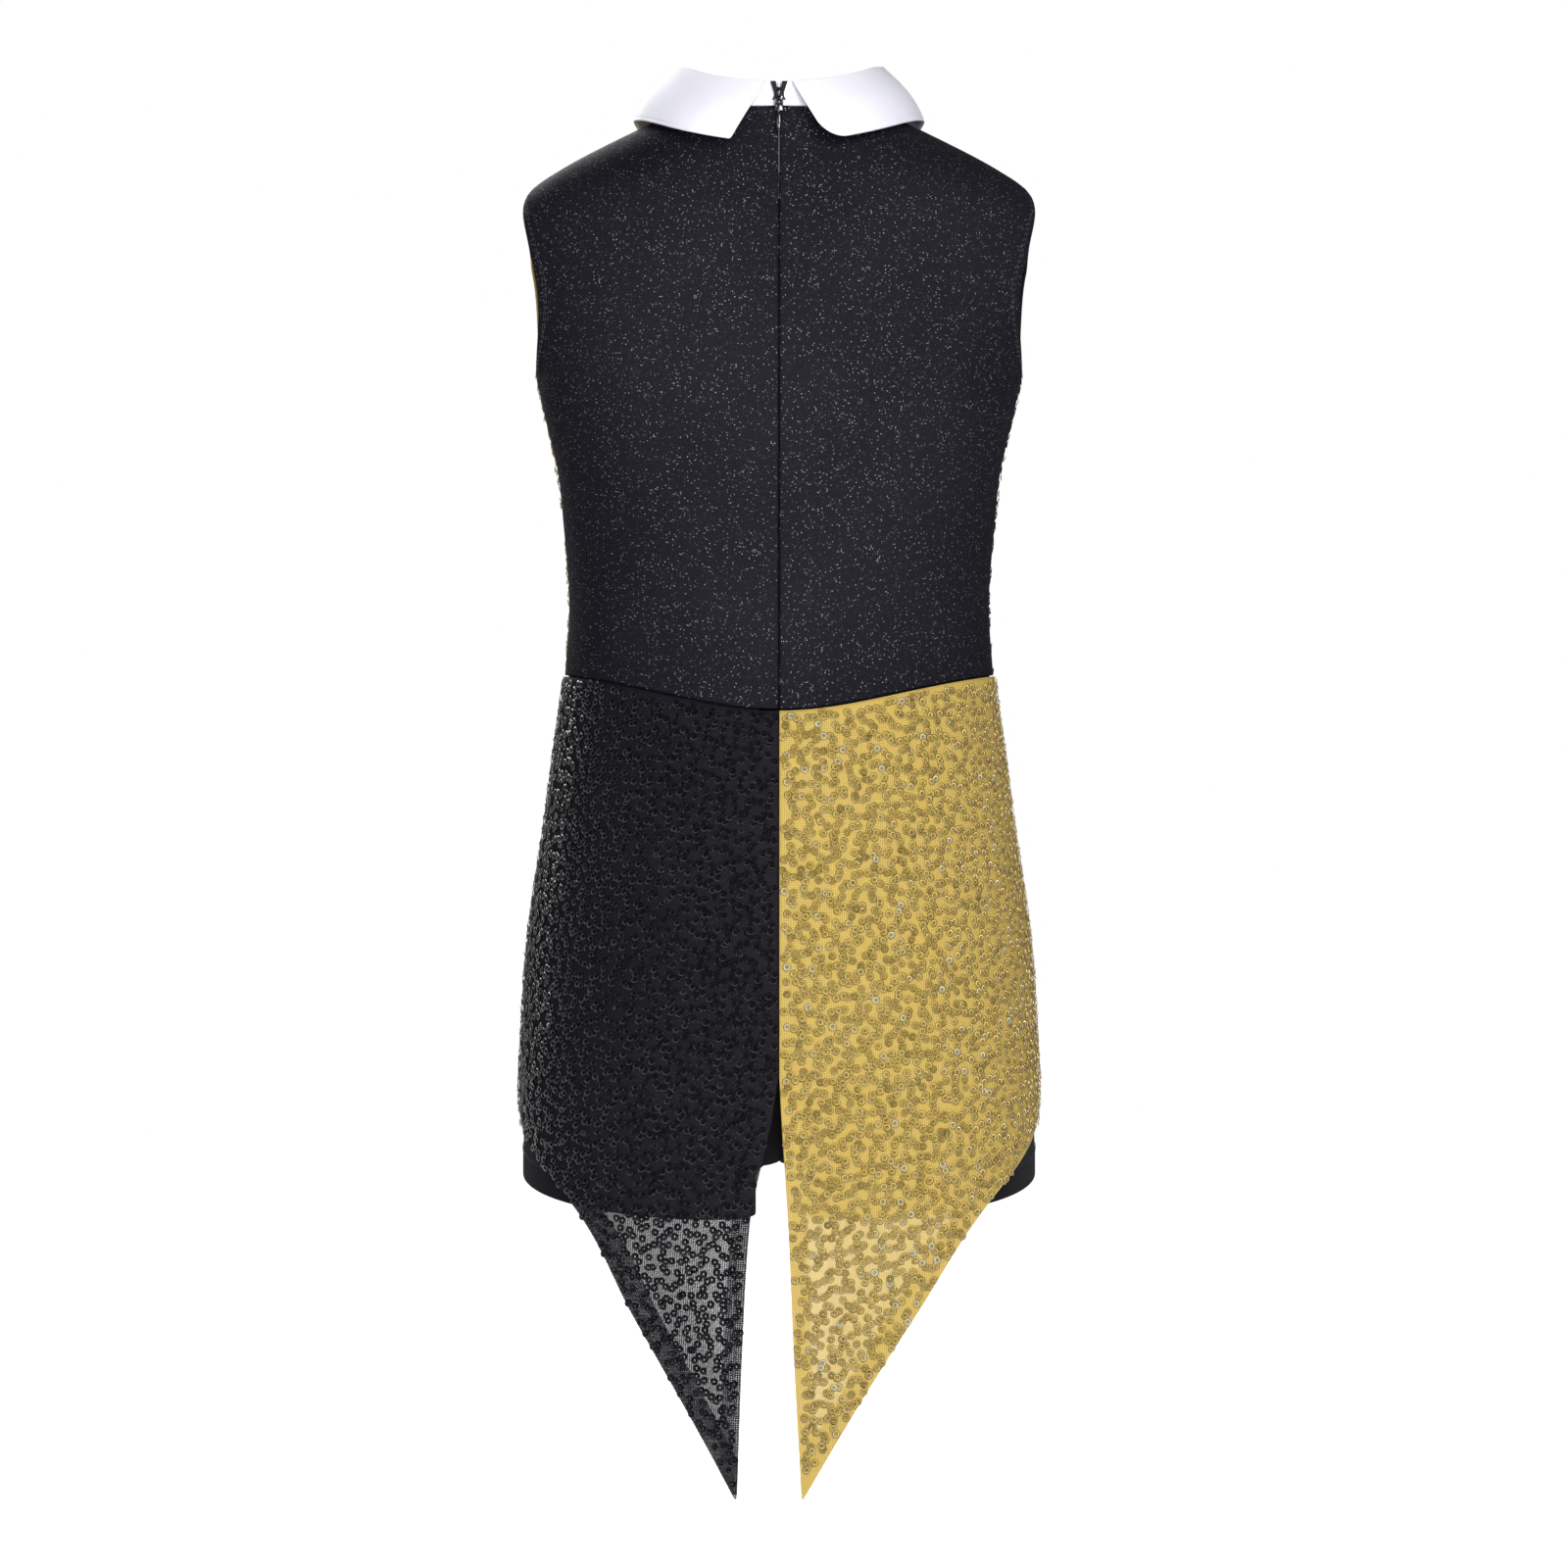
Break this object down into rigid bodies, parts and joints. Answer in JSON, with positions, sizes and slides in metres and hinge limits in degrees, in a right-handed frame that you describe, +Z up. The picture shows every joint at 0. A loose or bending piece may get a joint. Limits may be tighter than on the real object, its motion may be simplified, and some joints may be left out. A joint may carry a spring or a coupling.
{
  "type": "cheer uniform",
  "caption": "Sleeveless cheer one-piece with shorts, fold-over collar, centre-back concealed zip and a sequin overskirt cut away to two hanging tails.",
  "frame": {"origin": "midway between the two high shoulder points, at the neck seam", "axes": "+Z up, the garment's front faces -Y, the wearer's left is +X"},
  "size_m": [0.2654, 0.18, 0.716],
  "materials": {
    "glitter_knit": "black stretch knit with dense fine silver glitter",
    "black_knit": "matt black stretch knit",
    "white_satin": "white satin, soft sheen",
    "gold_sequins": "gold ring sequins sewn in winding rows on a sheer beige mesh",
    "black_sequins": "black ring sequins sewn in winding rows on a sheer black mesh",
    "zip_tape": "woven black tape",
    "zip_coil": "black nylon coil",
    "zip_metal": "gloss black lacquered metal"
  },
  "bodies": {
    "garment": {"back_bodice_left": "glitter_knit", "back_bodice_right": "glitter_knit", "front_bodice_left": "gold_sequins", "front_bodice_right": "black_sequins", "shorts_back_left": "black_knit", "shorts_back_right": "black_knit", "shorts_front_left": "black_knit", "shorts_front_right": "black_knit", "leg_hem_left": "black_knit", "leg_hem_right": "black_knit", "armhole_facing_left": "black_knit", "armhole_facing_right": "black_knit", "waist_tape": "black_knit", "shoulder_tape_left": "black_knit", "shoulder_tape_right": "black_knit", "overskirt_left": "black_sequins", "overskirt_right": "gold_sequins", "collar_stand": "white_satin", "collar_leaf_left": "white_satin", "collar_leaf_right": "white_satin", "zip_tape_left": "zip_tape", "zip_tape_right": "zip_tape", "zip_coil_left": "zip_coil", "zip_coil_right": "zip_coil", "zip_top_stop_left": "zip_metal", "zip_top_stop_right": "zip_metal", "zip_bottom_stop": "zip_metal"},
    "slider": {"zip_slider": "zip_metal"},
    "pull": {"zip_pull": "zip_metal"},
    "tail_left": {"tail_left": "black_sequins"},
    "tail_right": {"tail_right": "gold_sequins"},
    "collar_point_left": {"collar_point_left": "white_satin"},
    "collar_point_right": {"collar_point_right": "white_satin"}
  },
  "joints": [
    {"name": "zip_slide", "type": "slide", "parent": "garment", "child": "slider", "axis": [0, 0.0476, -0.9989], "range_m": [0, 0.288]},
    {"name": "pull_swing", "type": "hinge", "parent": "slider", "child": "pull", "pos_m": [0, 0.06349, -0.00184], "axis": [1, 0, 0], "range_deg": [0, 165]},
    {"name": "tail_left_swing", "type": "hinge", "parent": "garment", "child": "tail_left", "pos_m": [0.06, 0.0962, -0.5453], "axis": [1, 0, 0], "range_deg": [0, 80]},
    {"name": "tail_right_swing", "type": "hinge", "parent": "garment", "child": "tail_right", "pos_m": [-0.06, 0.0962, -0.5453], "axis": [1, 0, 0], "range_deg": [0, 80]},
    {"name": "collar_point_left_lift", "type": "hinge", "parent": "garment", "child": "collar_point_left", "pos_m": [0.026, 0.0544, 0.0127], "axis": [0.8316, -0.529, 0.169], "range_deg": [0, 60]},
    {"name": "collar_point_right_lift", "type": "hinge", "parent": "garment", "child": "collar_point_right", "pos_m": [-0.026, 0.0544, 0.0127], "axis": [0.8316, 0.529, -0.169], "range_deg": [0, 60]}
  ]
}
